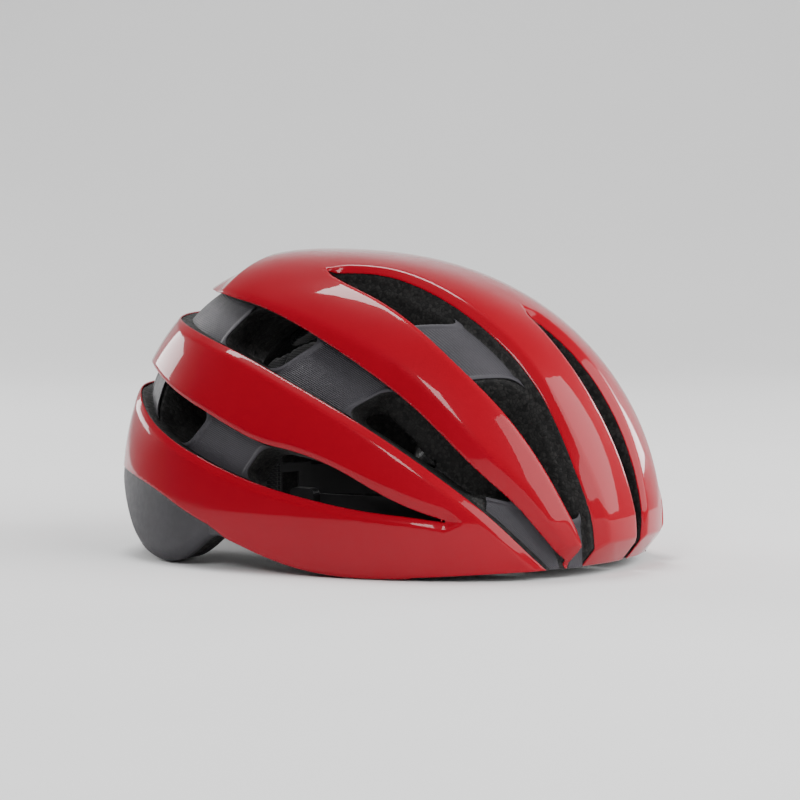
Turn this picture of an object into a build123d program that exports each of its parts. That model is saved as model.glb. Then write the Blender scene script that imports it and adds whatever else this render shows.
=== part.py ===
"""Road cycling helmet, size M.

Millimetres. +X is the wearer's left, -Y is forwards, +Z is up. The origin is on the surface that
the helmet stands on, under the middle of its bounding box.
"""
from build123d import *
import math
import os

# ---- outer form: a superellipsoid dome whose middle drifts back as it rises
HALF_WIDTH = 106.0
FRONT_LENGTH = 174.0
REAR_LENGTH = 116.0
HEIGHT = 158.0
DOME_BASE = 11.0
DOME_MIDDLE = 29.0
DOME_DRIFT = 0.068
PLAN_POWER = 2.4
RISE_POWER = 2.15
TUCK_HEIGHT = 26.0
TUCK_SIDE = 2.0
TUCK_FRONT = 8.0
EYE = (0.0, 20.0, -62.0)
EYE_SPREAD = math.radians(72.8)
GRID = 33
CENTRE_SHIFT = -1.72

# ---- layers under the outer form
SHELL = 1.4
RECESS = 8.5
SKIN = 0.9

# ---- head cavity
HEAD_WIDTH = 79.0
HEAD_LENGTH = 108.0
HEAD_RISE = 112.0
HEAD_BASE = 20.0

# ---- vents
SIDE_TILT = 17.0
FRONT_TILT = 45.0
DEEP = 240.0
SIDE_START = 25.0
FRONT_START = 30.0
WINDOW_START = 35.0
BACK_START = 92.0
TAIL_START = 84.0
BACK_WINDOW_START = 50.0

# ---- rounded doorway in the rear rim, over the dial
ARCH_WIDTH = 62.0
ARCH_HEIGHT = 51.0
ARCH_CORNER = 14.0
ARCH_FRONT = 80.0
ARCH_LENGTH = 100.0

# ---- head band, whose arms slide round a circular track about a vertical axis
TRACK_CENTRE = 27.0
TRACK_RADIUS = 69.5
ARM_THICK = 1.8
ARM_GAP = 0.4
PLATE = 2.4
DIAL_HEIGHT = 30.0
PINION_PITCH = 4.0
PINION_TEETH = 12
TOOTH_TIP = 0.5
TOOTH_ROOT = 0.7
DIAL_RADIUS = 13.0
DIAL_GRIPS = 12
SHAFT_RADIUS = 2.5
RUNNING_GAP = 0.08
HOUSING_ANGLE = 24.0
HOUSING_HALF = 13.0
RACK_TOP = 9.6
ARM_HALF = 8.0
RACK_START, STRAP_START, ARM_END = -11.0, 34.0, 86.0
TOOTH_TIP_WIDTH = 0.5
TOOTH_ROOT_WIDTH = 1.1
STEM_HALF = 6.0
STEM_TOP = 78.0
STEM_OVERLAP = 8.0
RAIL_LOW = 50.0
RAIL_HIGH = 88.0
RAIL_THICK = 2.2
RAIL_LIP = 3.0
NOTCHES = 6
NOTCH_PITCH = 5.6
NOTCH_RADIUS = 1.4
SCREW_ANGLE = 19.0
SCREW_RADIUS = 1.1
SCREW_HEAD_RADIUS = 2.2
BOSS_RADIUS = 2.4
KNOB_DEPTH = 8.0
GRIP_RADIUS = 2.6

# ---- pads, front head band and strap anchors
PAD_GAP = 0.6
PAD_THICK = 4.5
BAND_OUTER = (73.4, 103.0)
BAND_THICK = 1.6
BAND_LOW, BAND_HIGH = 26.0, 38.0
BROW_PAD_OUTER = (71.4, 101.0)
BROW_PAD_THICK = 5.45
BROW_PAD_LOW, BROW_PAD_HIGH = 20.0, 44.0
WEBBING_SLOT = (16.0, 3.0)

os.makedirs("parts", exist_ok=True)


def save(node, shape):
    """Write one node, as one solid or as a group of separate solids, about the middle of the helmet."""
    solids = (Pos(0, CENTRE_SHIFT, 0) * shape).solids()
    whole = solids[0] if len(solids) == 1 else Compound(children=list(solids))
    export_step(whole, f"parts/{node}.step")


def mirrored(shape):
    """The same shape on the other side of the helmet."""
    return mirror(shape, about=Plane.YZ)


def both(shape):
    """A shape and its mirror image, as one group."""
    return Compound(children=[*shape.solids(), *mirrored(shape).solids()])


# ---------------------------------------------------------------- outer form

def dome_value(x, y, z):
    """Below 1 inside the dome, above 1 outside it."""
    middle = DOME_MIDDLE + DOME_DRIFT * z
    reach = FRONT_LENGTH if y < middle else REAR_LENGTH
    plan = abs(x / HALF_WIDTH) ** PLAN_POWER + abs((y - middle) / reach) ** PLAN_POWER
    rise = max(z - DOME_BASE, 0.0) / (HEIGHT - DOME_BASE)
    return plan + rise ** RISE_POWER


def dome_point(direction):
    """Where a ray from the eye point leaves the dome."""
    near, far = 10.0, 600.0
    for _ in range(50):
        middle = (near + far) / 2
        if dome_value(*(e + middle * d for e, d in zip(EYE, direction))) < 1:
            near = middle
        else:
            far = middle
    return Vector(*(e + near * d for e, d in zip(EYE, direction)))


def dome_normal(point):
    """Outward unit normal of the dome."""
    step = 0.5
    slopes = []
    for axis in ((step, 0, 0), (0, step, 0), (0, 0, step)):
        ahead = dome_value(point.X + axis[0], point.Y + axis[1], point.Z + axis[2])
        behind = dome_value(point.X - axis[0], point.Y - axis[1], point.Z - axis[2])
        slopes.append(ahead - behind)
    return Vector(*slopes).normalized()


def tucked(point):
    """The rim turns in under the dome, most of all at the brow."""
    low = min(max((TUCK_HEIGHT - point.Z) / TUCK_HEIGHT, 0.0), 1.2)
    forward = max(-point.Y / FRONT_LENGTH, 0.0)
    pull = (TUCK_SIDE + TUCK_FRONT * forward ** 2) * low ** 1.5
    away = Vector(point.X, point.Y - DOME_MIDDLE, 0).normalized()
    return point - away * pull


def layer(inset):
    """Everything inside the outer form, moved in by inset, above the standing surface."""
    rows = []
    for i in range(GRID):
        across = math.tan(EYE_SPREAD * (2 * i / (GRID - 1) - 1))
        row = []
        for j in range(GRID):
            along = math.tan(EYE_SPREAD * (2 * j / (GRID - 1) - 1))
            direction = Vector(across, along, 1).normalized()
            point = dome_point(direction)
            row.append(tucked(point) - dome_normal(point) * inset)
        rows.append(row)
    dome = Face.make_surface_from_array_of_points(rows)
    block = Pos(0, 0, 97) * Box(400, 500, 200)
    pieces = split(block, bisect_by=dome, keep=Keep.ALL).solids()
    return min(pieces, key=lambda piece: piece.volume)


# ---------------------------------------------------------------- drawing planes

def side_plane():
    """Seen from the wearer's left, tilted up: local x is Y, local y is nearly Z."""
    tilt = math.radians(SIDE_TILT)
    return Plane(origin=(0, 0, 0), x_dir=(0, 1, 0), z_dir=(math.cos(tilt), 0, math.sin(tilt)))


def front_plane():
    """Seen from ahead and above: local x is X, local y runs up and back over the crown."""
    tilt = math.radians(FRONT_TILT)
    return Plane(origin=(0, 0, 0), x_dir=(1, 0, 0), z_dir=(0, -math.cos(tilt), math.sin(tilt)))


def between(upper, lower):
    """The area between two smooth lines that run the same way."""
    first = Spline(*upper)
    second = Spline(*lower)
    ends = [Line(upper[0], lower[0]), Line(upper[-1], lower[-1])]
    return make_face(Curve() + [first, second, *ends])


def pulled(plane, area, start, length=DEEP):
    """An area drawn on a plane, pulled outwards from start."""
    return extrude(plane.offset(start) * area, length)


def ring(outer, inner, low, high):
    """An upright circular band about the head band's axis."""
    band = Cylinder(outer, high - low) - Cylinder(inner, high - low)
    return Pos(0, TRACK_CENTRE, (low + high) / 2) * band


def wedge(start, end):
    """The sector between two angles from straight back, positive to the wearer's left."""
    reach = 200.0
    points = [(0, 0)]
    steps = 8
    for i in range(steps + 1):
        angle = math.radians(start + (end - start) * i / steps)
        points.append((reach * math.sin(angle), reach * math.cos(angle)))
    return Pos(0, TRACK_CENTRE, -50) * extrude(make_face(Polyline(*points, close=True)), 250)


# ---------------------------------------------------------------- the helmet's main lines
RIB_LOWER = [(84, 116), (40, 105), (0, 88.5), (-31, 72), (-60, 53.5), (-92, 27), (-111, 10), (-124, -14)]
BAND_UPPER = [(97, 99), (47, 80.5), (9, 64.5), (-26, 48.8), (-59, 31.7), (-85, 17), (-101, 4), (-113, -14)]
BAND_LOWER = [(108, 75), (79, 57.5), (47, 42.7), (22, 32.2), (-8, 27.3), (-40, 14.7), (-77, 4)]
LOW_UPPER = [(120, 63), (97, 43.5), (66, 27.7), (29, 14.6), (-10, 6.7), (-40, 3.6), (-77, 2)]
RIB_UPPER = [(42, 117), (53, 86), (58, 58), (62, 28), (60, -12), (54, -50), (48.5, -72), (44.5, -100)]
INNER_RIB = [(40, 117), (33.5, 98), (34, 82), (37, 50), (38.5, 22), (40, -20), (41, -60), (40.5, -100)]
SLOT_SIDE = [(0.2, 38), (4.5, 15), (6.8, -25), (5.5, -62), (2.0, -100)]
RIM = [(-160, 4.5), (-120, 4.2), (-75, 1.6), (-34, 0), (-2, 3.2), (20, 9), (38, 15.5), (49, 17)]
LOBE = [(49, 17), (60, 9.5), (70, 3), (84, 0), (98, 2.5), (112, 10), (124, 26), (138, 40), (160, 46)]
COVER_LINE = [(28, 5), (40, 17), (62, 26.5), (88, 37.5), (104, 42), (125, 45), (160, 47)]

tilted = side_plane()
facing = front_plane()
upper_channel = pulled(tilted, between(RIB_LOWER, BAND_UPPER), SIDE_START)
lower_channel = pulled(tilted, between(BAND_LOWER, LOW_UPPER), SIDE_START)
rib_channel = pulled(facing, between(RIB_UPPER, INNER_RIB), FRONT_START)
slot_channel = pulled(facing, between(SLOT_SIDE, [(-x, w) for x, w in SLOT_SIDE]), FRONT_START)
rear_view = Plane(origin=(0, 0, 0), x_dir=(-1, 0, 0), z_dir=(0, 1, 0))
TAIL_EDGE = [(-66, 132), (-40, 136.5), (0, 138.5), (40, 136.5), (66, 132)]
BACK_UPPER = [(-74, 117), (-40, 123.5), (0, 125.5), (40, 123.5), (74, 117)]
BACK_LOWER = [(-90, 90), (-50, 99.5), (0, 102.5), (50, 99.5), (90, 90)]
LOW_REAR = [(-92, 74), (-50, 86), (0, 89.5), (50, 86), (92, 74)]
tail_gap = pulled(rear_view, between(TAIL_EDGE, BACK_UPPER), TAIL_START)
back_gap = pulled(rear_view, between(BACK_LOWER, LOW_REAR), BACK_START)
long_back_gap = pulled(rear_view, between(BACK_LOWER, LOW_REAR), BACK_WINDOW_START)
channels = [upper_channel, mirrored(upper_channel), lower_channel, mirrored(lower_channel),
            rib_channel, mirrored(rib_channel), slot_channel, tail_gap, back_gap]

# ends of the openings that run right through to the head, inside the channels
UPPER_REAR_WINDOW = [(70, 78), (44, 122), (-8, 104), (38, 63)]
UPPER_FRONT_WINDOW = [(-7, 46), (-45, 74.5), (-112, 34), (-106, 18.2), (-80, 20.5), (-50, 18)]
LOWER_REAR_WINDOW = [(76, 26), (52, 58), (101, 84), (101, 34)]
LOWER_FRONT_WINDOW = [(41, 8), (23, 36), (-90, 24), (-90, -6)]
CROWN_WINDOW = [(62, 69), (34, 41), (25, 60), (25, 130), (65, 130)]
BROW_WINDOW = [(68, 24), (34, 0.5), (34, -70), (60, -62)]
SLOT_WINDOW = [(-12, 33), (12, 33), (12, -82), (-12, -82)]
BACK_WINDOW = [(9, 80), (56, 80), (56, 110), (9, 110)]


def window(plane, corners, channel):
    """The part of a channel that runs right through the foam."""
    return pulled(plane, make_face(Polyline(*corners, close=True)), WINDOW_START) & channel


side_windows = [window(tilted, UPPER_REAR_WINDOW, upper_channel),
                window(tilted, UPPER_FRONT_WINDOW, upper_channel),
                window(tilted, LOWER_REAR_WINDOW, lower_channel),
                window(tilted, LOWER_FRONT_WINDOW, lower_channel),
                window(facing, CROWN_WINDOW, rib_channel),
                window(facing, BROW_WINDOW, rib_channel),
                window(rear_view, BACK_WINDOW, long_back_gap)]
windows = [*side_windows, *[mirrored(opening) for opening in side_windows]]
windows.append(window(facing, SLOT_WINDOW, slot_channel))

# ---------------------------------------------------------------- rim
profile = Plane(origin=(0, 0, 0), x_dir=(0, 1, 0), z_dir=(1, 0, 0))
rim_edges = [Spline(*RIM), Spline(*LOBE), Line((160, 46), (160, 220)), Line((160, 220), (-160, 220)),
             Line((-160, 220), (-160, 4.5))]
above_rim = extrude(profile * make_face(Curve() + rim_edges), 200, both=True)
cover_edges = [Spline(*COVER_LINE), Line((160, 47), (160, -20)), Line((160, -20), (28, -20)),
               Line((28, -20), (28, 5))]
below_cover = extrude(profile * make_face(Curve() + cover_edges), 200, both=True)
arch = extrude(RectangleRounded(ARCH_WIDTH, 2 * ARCH_HEIGHT, ARCH_CORNER), ARCH_LENGTH)
arch = Pos(0, ARCH_FRONT, 0) * Rot(-90, 0, 0) * arch

outer = (layer(0) & above_rim) - arch
under = layer(SHELL)
recess = layer(RECESS)
recess_under = layer(RECESS + SKIN)

# ---------------------------------------------------------------- shells
skin = outer - under
for channel in channels:
    skin -= channel
save("rear_lobe_cover", skin & below_cover)
red = [solid for solid in (skin - below_cover).solids() if solid.volume > 500]
red.sort(key=lambda solid: solid.center().Z)
save("lower_shell", red[0])
save("crown_shell", red[-1])

# ---------------------------------------------------------------- dark panels at the bottom of the channels
panel_layer = (outer & recess) - recess_under


def panels(parts):
    """What is left of the panel layer in some channels, once the windows are open."""
    pieces = [panel_layer & part for part in parts]
    panel = pieces[0]
    for piece in pieces[1:]:
        panel += piece
    for opening in windows:
        panel -= opening
    return [solid for solid in panel.solids() if solid.volume > 20]


def save_pair(node, solids):
    """One panel of each side, left then right."""
    save(f"{node}_left", max(solids, key=lambda solid: solid.center().X))
    save(f"{node}_right", min(solids, key=lambda solid: solid.center().X))


upper_panels = panels([upper_channel - rib_channel, mirrored(upper_channel - rib_channel), tail_gap])
upper_panels.sort(key=lambda solid: solid.center().Y)
save_pair("side_brow_panel", upper_panels[:2])
save_pair("upper_web", upper_panels[2:4])
save("tail_panel", upper_panels[-1])
lower_panels = panels([lower_channel, mirrored(lower_channel), back_gap])
middle_webs = [solid for solid in lower_panels if 35 < solid.center().Y < 75]
rear_webs = [solid for solid in lower_panels if solid.center().Y >= 75]
save_pair("lower_web", middle_webs)
save("rear_webs", Compound(children=rear_webs))
rib_panels = panels([rib_channel, mirrored(rib_channel)])
rib_panels.sort(key=lambda solid: solid.center().Z)
save_pair("front_brow_panel", rib_panels[:2])
save_pair("crown_web", rib_panels[-2:])

# ---------------------------------------------------------------- head cavity and foam
dome = Pos(0, 0, HEAD_BASE) * scale(Sphere(1), by=(HEAD_WIDTH, HEAD_LENGTH, HEAD_RISE))
dome_foot = Pos(0, 0, -20) * extrude(Ellipse(HEAD_WIDTH, HEAD_LENGTH), HEAD_BASE + 20)
nape = loft([Pos(0, 8, -20) * Ellipse(92, 122), Pos(0, 8, 60) * Ellipse(72, 94)])
inner_radius = TRACK_RADIUS - ARM_THICK / 2 - ARM_GAP
outer_radius = TRACK_RADIUS + ARM_THICK / 2 + ARM_GAP
stem_back = TRACK_CENTRE + inner_radius
rail_back = stem_back + ARM_GAP + RAIL_THICK
rail_pocket = Pos(0, rail_back - 14, 67) * Box(2 * STEM_HALF + 6, 28, 44)
anchor_block = fillet((Pos(76.6, 10, 32) * Box(6, 14, 18)).edges().filter_by(Axis.X), 3)
strap_spots = [(84.5, -44, 9, 12), (86.0, 66, 18, -14)]
strap_anchor = Part()
for x, y, z, turn in strap_spots:
    plate = fillet(Box(3, 22, 9).edges().filter_by(Axis.X), 3) - Box(4, *WEBBING_SLOT)
    strap_anchor += Pos(x, y, z) * Rot(0, 0, turn) * plate

foam = (outer & under) - dome - dome_foot - nape
for channel in channels:
    foam -= channel - recess_under
for opening in windows:
    foam -= opening
for pocket in (rail_pocket, anchor_block, mirrored(anchor_block), strap_anchor, mirrored(strap_anchor)):
    foam -= pocket
save("foam_liner", max(foam.solids(), key=lambda solid: solid.volume))
save("strap_anchors", both(strap_anchor))
save("temple_anchor_left", anchor_block)
save("temple_anchor_right", mirrored(anchor_block))

# ---------------------------------------------------------------- front head band and pads


def elliptical_band(outer, thick, low, high):
    """An upright oval band about the middle of the head."""
    area = Ellipse(*outer) - Ellipse(outer[0] - thick, outer[1] - thick)
    return Pos(0, 0, low) * extrude(area, high - low)


front_half = Pos(0, -90, 32) * Box(200, 206, 40)
forehead = Pos(0, -100, 32) * Box(116, 120, 40)
save("front_headband", elliptical_band(BAND_OUTER, BAND_THICK, BAND_LOW, BAND_HIGH) & front_half)
save("brow_pad", elliptical_band(BROW_PAD_OUTER, BROW_PAD_THICK, BROW_PAD_LOW, BROW_PAD_HIGH) & forehead)
pad_outer = scale(Sphere(1), by=(HEAD_WIDTH - PAD_GAP, HEAD_LENGTH - PAD_GAP, HEAD_RISE - PAD_GAP))
pad_inner = scale(Sphere(1), by=(HEAD_WIDTH - PAD_GAP - PAD_THICK, HEAD_LENGTH - PAD_GAP - PAD_THICK,
                                 HEAD_RISE - PAD_GAP - PAD_THICK))
pad_layer = Pos(0, 0, HEAD_BASE) * (pad_outer - pad_inner)


def strip(x, y, width, length, turn):
    """A rounded pad outline seen from above, pulled upwards through the pad layer."""
    return Pos(x, y, 60) * Rot(0, 0, turn) * extrude(RectangleRounded(width, length, width / 2 - 0.1), 100)


save("crown_pad", pad_layer & strip(0, 8, 24, 110, 0))
side_pad = pad_layer & strip(47, 18, 16, 86, 4)
save("side_pad_left", side_pad)
save("side_pad_right", mirrored(side_pad))

# ---------------------------------------------------------------- fit system: cradle and its height rail
low, high = DIAL_HEIGHT - HOUSING_HALF, DIAL_HEIGHT + HOUSING_HALF
sector = wedge(-HOUSING_ANGLE, HOUSING_ANGLE)
shaft_bore = Pos(0, TRACK_CENTRE + TRACK_RADIUS, DIAL_HEIGHT) * Rot(90, 0, 0) * Cylinder(
    SHAFT_RADIUS + RUNNING_GAP, 30)
stem_low = high - STEM_OVERLAP
stem = Box(2 * STEM_HALF, PLATE, STEM_TOP - stem_low)
stem = Pos(0, stem_back - PLATE / 2, (stem_low + STEM_TOP) / 2) * stem
stem = fillet(stem.edges().filter_by(Axis.Y), 2)


def radial(angle, radius, start, end):
    """A round bar along a radius of the track, at the dial's height."""
    bar = extrude(Circle(radius), end - start)
    return Pos(0, TRACK_CENTRE, DIAL_HEIGHT) * Rot(0, 0, -angle) * Rot(-90, 0, 0) * Pos(0, 0, start) * bar


frame = ring(inner_radius, inner_radius - PLATE, low, high)
frame += ring(outer_radius, inner_radius - PLATE, high - PLATE, high)
frame += ring(outer_radius, inner_radius - PLATE, low, low + PLATE)
frame = frame & sector
for side in (-1, 1):
    frame += radial(side * SCREW_ANGLE, BOSS_RADIUS, inner_radius - 1, outer_radius - 0.1)
frame += stem
for side in (-1, 1):
    frame -= radial(side * SCREW_ANGLE, SCREW_RADIUS, inner_radius - 1, outer_radius + 10)
frame -= shaft_bore
save("cradle_frame", frame)

housing = (ring(outer_radius + PLATE, outer_radius, low, high) & sector) - shaft_bore
screws = Part()
for side in (-1, 1):
    housing -= radial(side * SCREW_ANGLE, SCREW_RADIUS, outer_radius - 1, outer_radius + 10)
    shank = radial(side * SCREW_ANGLE, SCREW_RADIUS, inner_radius - 1, outer_radius + PLATE + 0.5)
    head_start = outer_radius + PLATE + 0.1
    screw_head = radial(side * SCREW_ANGLE, SCREW_HEAD_RADIUS, head_start, head_start + 1.3)
    screws += shank + screw_head
save("dial_housing", housing)
save("housing_screws", screws)

rail_length = RAIL_HIGH - RAIL_LOW
rail_middle = (RAIL_LOW + RAIL_HIGH) / 2
rail = Pos(0, rail_back - RAIL_THICK / 2, rail_middle) * Box(2 * STEM_HALF + 5, RAIL_THICK, rail_length)
for side in (-1, 1):
    lip_y = rail_back - RAIL_THICK + 0.1 - RAIL_LIP / 2
    rail += Pos(side * (STEM_HALF + 1.5), lip_y, rail_middle) * Box(2, RAIL_LIP, rail_length)
for notch in range(NOTCHES):
    notch_z = RAIL_LOW + 5 + NOTCH_PITCH * notch
    rail -= Pos(0, rail_back, notch_z) * Rot(90, 0, 0) * Cylinder(NOTCH_RADIUS, 10)
save("height_rail", rail)

cradle_pad = ring(inner_radius - PLATE - 0.1, inner_radius - PLATE - 3.4, 20, 40) & wedge(6, 22)
save("cradle_pad_left", cradle_pad)
save("cradle_pad_right", mirrored(cradle_pad))

# ---------------------------------------------------------------- fit system: racked arms, pinion and dial
module = 2 * PINION_PITCH / PINION_TEETH
rack_pitch = math.degrees(math.pi * module / TRACK_RADIUS)
arm_inner = TRACK_RADIUS - ARM_THICK / 2
arm_outer = TRACK_RADIUS + ARM_THICK / 2


def tooth(width_root, width_tip, height, thick):
    """A tapered tooth that stands up from its root, centred in its thickness along Y."""
    corners = [(-width_root / 2, -0.3), (width_root / 2, -0.3), (width_root / 2, 0), (width_tip / 2, height),
               (-width_tip / 2, height), (-width_root / 2, 0)]
    area = Plane.XZ * make_face(Polyline(*corners, close=True))
    return extrude(area, thick / 2, both=True)


rack_floor = PINION_PITCH + TOOTH_ROOT
rack_low = DIAL_HEIGHT + rack_floor
rack_high = DIAL_HEIGHT + RACK_TOP
arm_low = DIAL_HEIGHT - ARM_HALF
arm = ring(arm_outer, arm_inner, rack_low, rack_high) & wedge(RACK_START, STRAP_START + 6)
arm += ring(arm_outer, arm_inner, arm_low, rack_high) & wedge(STRAP_START, STRAP_START + 6)
arm += ring(arm_outer, arm_inner, arm_low, DIAL_HEIGHT + ARM_HALF) & wedge(STRAP_START + 5, ARM_END)
rack_tooth = Pos(0, TRACK_RADIUS, rack_floor) * Rot(0, 180, 0) * tooth(
    TOOTH_ROOT_WIDTH, TOOTH_TIP_WIDTH, TOOTH_ROOT + TOOTH_TIP, ARM_THICK - 0.2)
for step in range(-6, 2):
    angle = (step + 0.5) * rack_pitch
    arm += Pos(0, TRACK_CENTRE, DIAL_HEIGHT) * Rot(0, 0, -angle) * rack_tooth
save("arm_left", arm)
flip = Plane(origin=(0, 0, DIAL_HEIGHT), z_dir=(0, 0, 1))
save("arm_right", mirrored(mirror(arm, about=flip)))

pinion_y = TRACK_CENTRE + TRACK_RADIUS
pinion = Rot(90, 0, 0) * Cylinder(PINION_PITCH - TOOTH_ROOT, ARM_THICK)
for step in range(PINION_TEETH):
    root = Pos(0, 0, PINION_PITCH - TOOTH_ROOT) * tooth(
        TOOTH_ROOT_WIDTH, TOOTH_TIP_WIDTH, TOOTH_ROOT + TOOTH_TIP, ARM_THICK)
    pinion += Rot(0, 360 * step / PINION_TEETH, 0) * root
shaft_front = inner_radius - PLATE - TRACK_RADIUS + 0.2
shaft_back = outer_radius + PLATE - TRACK_RADIUS + 6.5
shaft = Rot(90, 0, 0) * Cylinder(SHAFT_RADIUS, shaft_back - shaft_front)
shaft = Pos(0, (shaft_front + shaft_back) / 2, 0) * shaft
pinion = Pos(0, pinion_y, DIAL_HEIGHT) * (pinion + shaft)
screw_hole = Pos(0, pinion_y + shaft_back, DIAL_HEIGHT) * Rot(90, 0, 0) * Cylinder(1.0, 10)
save("dial_pinion", pinion - screw_hole)

knob_front = pinion_y + shaft_back - 6.0
knob = extrude(Circle(DIAL_RADIUS), KNOB_DEPTH)
for grip in range(DIAL_GRIPS):
    turn = 360 * (grip + 0.5) / DIAL_GRIPS
    knob -= Rot(0, 0, turn) * Pos(DIAL_RADIUS + 1.2, 0, 0) * extrude(Circle(GRIP_RADIUS), KNOB_DEPTH)
knob -= extrude(Circle(SHAFT_RADIUS), KNOB_DEPTH - 2)
knob -= Pos(0, 0, KNOB_DEPTH - 2) * extrude(Circle(3.0), 2)
knob = Pos(0, knob_front, DIAL_HEIGHT) * Rot(-90, 0, 0) * knob
save("dial_knob", knob)
dial_screw = Pos(0, knob_front + 6.7, DIAL_HEIGHT) * Rot(90, 0, 0) * Cylinder(2.6, 1.4)
dial_screw += Pos(0, knob_front + 3.6, DIAL_HEIGHT) * Rot(90, 0, 0) * Cylinder(1.0, 5)
save("dial_screw", dial_screw)
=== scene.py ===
import math

import bpy
import numpy as np
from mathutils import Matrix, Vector


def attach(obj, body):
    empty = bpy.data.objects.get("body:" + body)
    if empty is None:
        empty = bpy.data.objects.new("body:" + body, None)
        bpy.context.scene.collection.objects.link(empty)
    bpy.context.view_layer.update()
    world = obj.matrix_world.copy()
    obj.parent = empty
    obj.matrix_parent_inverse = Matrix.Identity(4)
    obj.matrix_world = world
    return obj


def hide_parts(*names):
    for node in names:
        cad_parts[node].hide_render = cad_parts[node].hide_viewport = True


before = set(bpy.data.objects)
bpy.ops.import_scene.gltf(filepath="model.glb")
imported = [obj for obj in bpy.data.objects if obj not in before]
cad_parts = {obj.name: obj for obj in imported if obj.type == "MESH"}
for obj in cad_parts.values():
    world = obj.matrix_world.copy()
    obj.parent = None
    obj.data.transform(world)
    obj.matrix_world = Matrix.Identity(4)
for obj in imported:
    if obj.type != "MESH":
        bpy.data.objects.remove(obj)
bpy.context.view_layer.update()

MM = 0.001

# ---------------------------------------------------------------- driving sizes, in millimetres
# The frame: +X is the wearer's left, -Y is forwards, +Z is up, the floor is at zero.
# The drawing below is made about the head's middle; CENTRE_SHIFT puts it in the shared frame.
CENTRE_SHIFT = np.array([0.0, -1.72, 0.0])
HALF_WIDTH = 105.7
FRONT_LENGTH = 173.4
REAR_LENGTH = 115.6
HEIGHT = 157.6
DOME_BASE = 11.0
DOME_MIDDLE = 29.0
DOME_DRIFT = 0.068
PLAN_POWER = 2.4
RISE_POWER = 2.15
MEAN_POWER = 2.3
# The rim is tucked in below TUCK_TOP, by different amounts at the sides, the temples and the brow.
TUCK_TOP = 30.0
TUCK_SIDE = 1.5
TUCK_FRONT = 9.0
TUCK_BROW = 3.0
TUCK_REACH = 140.0
TUCK_POWER = 1.35
# The brow turns under below a crease, and two upright creases run down the rear corners.
BROW_END = -60.0
BROW_CREASE = 17.5
BROW_TURN = 0.72
CORNER_X = 69.0
CORNER_DEPTH = 4.5
CORNER_START = 50.0
CORNER_RUN = 30.0
CORNER_FADE = 9.0
# The back's lower edge turns under too.
BACK_START = 50.0
BACK_TURN = 0.7
BACK_EDGE = 5.0
# The doorway at the back, for the dial.
ARCH_HALF = 31.0
ARCH_HEIGHT = 51.0
ARCH_CORNER = 14.0
ARCH_FRONT = 80.0

# Lines round the helmet run straight back to TURN_Y and then round a corner of TURN_RADIUS.
TILT = math.tan(math.radians(17.0))
TURN_Y = 60.0
TURN_RADIUS = 85.0
REAR_END = TURN_Y + TURN_RADIUS * math.pi / 2
ROOT_HALF = math.sqrt(0.5)

# Where the channels end, in the coordinates of their own lines.
UPPER_MARGIN = 3.0
LOWER_FRONT = -77.0
RIB_BACK = 117.0
SLOT_BACK = 38.0
OVER_INNER = 30.0
WINDOW_ROUND = 7.0

FLOOR_DEPTH = 9.4
PANEL_DEPTH = 8.4
PANEL_THICK = 1.0
BEVEL_ROUND = 0.7
COVER_SINK = 1.0
COVER_STEP = 1.2
SHELL_THICK = 1.2
SKIN_GAP = 0.05
WALL_GAP = 0.3
RIM_GAP = 0.7
SHELL_CELL = 1.05
FOAM_CELL = 1.5
HEAD = (79.0, 108.0, 112.0)
HEAD_BASE = 20.0
# The flare at the nape: half-width and half-length at its foot and at its top, and its heights.
NAPE_WIDE = (92.0, 72.0)
NAPE_LONG = (122.0, 94.0)
NAPE_FOOT = -20.0
NAPE_TOP = 60.0
NAPE_BACK = 8.0
# The pocket for the height rail: half-sizes and middle.
POCKET_HALF = (9.2, 14.2, 22.2)
POCKET_MIDDLE = (0.0, 85.3, 67.0)


# ---------------------------------------------------------------- smooth lines
def spline_table(points, samples=1500):
    """A natural cubic spline through (t, value) points: evenly spaced t, value and slope."""
    t, v = np.array(points, float).T
    order = np.argsort(t)
    t, v = t[order], v[order]
    n = len(t)
    h = np.diff(t)
    matrix = np.eye(n)
    right = np.zeros(n)
    for i in range(1, n - 1):
        matrix[i, i - 1:i + 2] = h[i - 1], 2 * (h[i - 1] + h[i]), h[i]
        right[i] = 6 * ((v[i + 1] - v[i]) / h[i] - (v[i] - v[i - 1]) / h[i - 1])
    bend = np.linalg.solve(matrix, right)
    x = np.linspace(t[0], t[-1], samples)
    i = np.clip(np.searchsorted(t, x) - 1, 0, n - 2)
    a = t[i + 1] - x
    b = x - t[i]
    value = (bend[i] * a ** 3 + bend[i + 1] * b ** 3) / (6 * h[i])
    value += (v[i] / h[i] - bend[i] * h[i] / 6) * a + (v[i + 1] / h[i] - bend[i + 1] * h[i] / 6) * b
    return x, value, np.gradient(value, x)


class Edge:
    """A smooth line value = f(t) on a drawing plane."""

    def __init__(self, points):
        self.t, self.value, self.slope = spline_table(points)

    def at(self, t):
        return np.interp(t, self.t, self.value)

    def off(self, t, value, tilt=0.0):
        """Signed distance from the line, positive above it."""
        slope = np.interp(t, self.t, self.slope)
        return (value - np.interp(t, self.t, self.value)) / np.sqrt(1 + slope ** 2 + tilt ** 2)


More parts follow.
